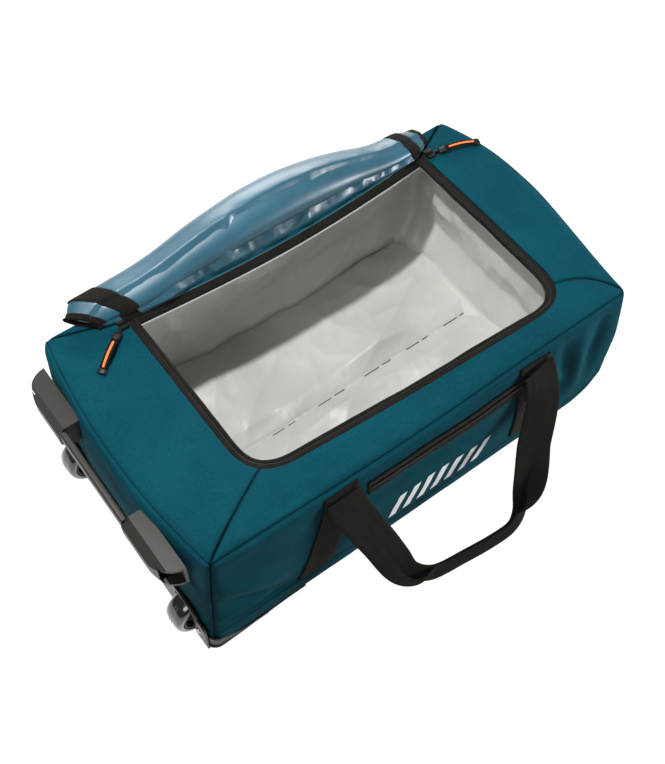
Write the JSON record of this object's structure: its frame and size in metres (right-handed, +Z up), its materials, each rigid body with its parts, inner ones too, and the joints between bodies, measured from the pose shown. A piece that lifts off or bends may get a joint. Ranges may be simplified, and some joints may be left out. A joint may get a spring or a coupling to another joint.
{
  "type": "rolling duffel bag",
  "caption": "Soft-sided wheeled duffel bag with its lid rolled back, carry loops, end stand feet and a telescopic handle under the floor.",
  "frame": {"origin": "centre of the bounding box in X and Y, on the ground it stands on", "axes": "+X along the bag towards the telescopic handle, -X towards the wheels, -Y the pocket side, +Y the lid's hinge side, +Z up"},
  "size_m": [0.758, 0.6066, 0.3087],
  "materials": {
    "body_fabric": "matte coated weave",
    "lid_fabric": "glossy laminated fabric",
    "lining_fabric": "silvery satin",
    "webbing": "ribbed woven webbing",
    "zip_tape": "woven tape with coil teeth",
    "accent": "matte woven stripe",
    "print": "screen print",
    "grey_plastic": "fine moulded grain",
    "black_plastic": "satin moulded",
    "tyre": "smooth polyurethane",
    "bottom_board": "textured sheet",
    "tube": "anodised",
    "steel": "zinc plated"
  },
  "bodies": {
    "bag": {"bottom_panel": "bottom_board", "front_panel": "body_fabric", "back_panel": "body_fabric", "wheel_end_panel": "body_fabric", "handle_end_panel": "body_fabric", "top_front_panel": "body_fabric", "top_back_panel": "body_fabric", "top_wheel_end_panel": "body_fabric", "top_handle_end_panel": "body_fabric", "lining": "lining_fabric", "floor_board": "bottom_board", "main_zip_tape": "zip_tape", "hinge_strip": "zip_tape", "pocket_zip_tape": "zip_tape", "pocket_lining": "lining_fabric", "front_strap_left": "webbing", "front_strap_right": "webbing", "back_strap_left": "webbing", "back_strap_right": "webbing", "wheel_front_axle": "steel", "wheel_back_axle": "steel", "wheel_housing_front": "black_plastic", "wheel_housing_back": "black_plastic", "kick_plate": "grey_plastic", "corner_guard_front": "black_plastic", "corner_guard_back": "black_plastic", "stand_foot_front": "grey_plastic", "stand_foot_back": "grey_plastic", "grab_bar": "grey_plastic", "outer_tube_front": "tube", "outer_tube_back": "tube", "tube_brace": "black_plastic", "handle_bezel": "black_plastic", "skid_front": "tyre", "skid_back": "tyre"},
    "wheel_front": {"wheel_front_tyre": "tyre", "wheel_front_hub": "grey_plastic", "wheel_front_bearing": "steel"},
    "wheel_back": {"wheel_back_tyre": "tyre", "wheel_back_hub": "grey_plastic", "wheel_back_bearing": "steel"},
    "handle_lower": {"lower_tube_front": "tube", "lower_tube_back": "tube"},
    "handle_upper": {"upper_tube_front": "tube", "upper_tube_back": "tube", "grip": "black_plastic"},
    "release": {"release_button": "black_plastic", "release_linkage": "steel"},
    "lid": {"lid_roll": "lid_fabric", "lid_zip_tape_left": "zip_tape", "lid_zip_tape_right": "zip_tape"},
    "slider_left": {"main_slider_left": "black_plastic"},
    "pull_left": {"main_pull_left": "webbing"},
    "slider_right": {"main_slider_right": "black_plastic"},
    "pull_right": {"main_pull_right": "webbing"},
    "slider_pocket": {"pocket_slider": "black_plastic"},
    "pull_pocket": {"pocket_pull": "webbing"},
    "loop_front": {"front_handle": "webbing"},
    "loop_back": {"back_handle": "webbing"}
  },
  "joints": [
    {"name": "wheel_front_spin", "type": "hinge", "parent": "bag", "child": "wheel_front", "pos_m": [-0.338, -0.14, 0.038], "axis": [0, 1, 0], "continuous": true},
    {"name": "wheel_back_spin", "type": "hinge", "parent": "bag", "child": "wheel_back", "pos_m": [-0.338, 0.14, 0.038], "axis": [0, 1, 0], "continuous": true},
    {"name": "handle_lower_slide", "type": "slide", "parent": "bag", "child": "handle_lower", "axis": [1, 0, 0], "range_m": [0, 0.28]},
    {"name": "handle_upper_slide", "type": "slide", "parent": "handle_lower", "child": "handle_upper", "axis": [1, 0, 0], "range_m": [0, 0.28]},
    {"name": "release_button_press", "type": "slide", "parent": "handle_upper", "child": "release", "axis": [-1, 0, 0], "range_m": [0, 0.004], "stiffness_N_per_m": 400},
    {"name": "lid_flip", "type": "hinge", "parent": "bag", "child": "lid", "pos_m": [0, 0.148, 0.256], "axis": [1, 0, 0], "range_deg": [0, 75]},
    {"name": "slider_left_run", "type": "slide", "parent": "bag", "child": "slider_left", "axis": [0, -1, 0], "range_m": [0, 0.2]},
    {"name": "pull_left_swing", "type": "hinge", "parent": "slider_left", "child": "pull_left", "pos_m": [-0.24766, 0.14056, 0.2591], "axis": [-0.6293, 0.7771, 0], "range_deg": [0, 100]},
    {"name": "slider_right_run", "type": "slide", "parent": "bag", "child": "slider_right", "axis": [0, -1, 0], "range_m": [0, 0.2]},
    {"name": "pull_right_swing", "type": "hinge", "parent": "slider_right", "child": "pull_right", "pos_m": [0.28334, 0.14361, 0.2591], "axis": [-0.2924, -0.9563, 0], "range_deg": [0, 100]},
    {"name": "pocket_slider_run", "type": "slide", "parent": "bag", "child": "slider_pocket", "axis": [-1, 0, 0], "range_m": [0, 0.24]},
    {"name": "pocket_pull_swing", "type": "hinge", "parent": "slider_pocket", "child": "pull_pocket", "pos_m": [0.164, -0.2026, 0.185], "axis": [-1, 0, 0], "range_deg": [0, 15]},
    {"name": "front_loop_swing", "type": "hinge", "parent": "bag", "child": "loop_front", "pos_m": [0, -0.2, 0.226], "axis": [-1, 0, 0], "range_deg": [0, 150]},
    {"name": "back_loop_swing", "type": "hinge", "parent": "bag", "child": "loop_back", "pos_m": [0, 0.2, 0.226], "axis": [1, 0, 0], "range_deg": [0, 130]}
  ]
}
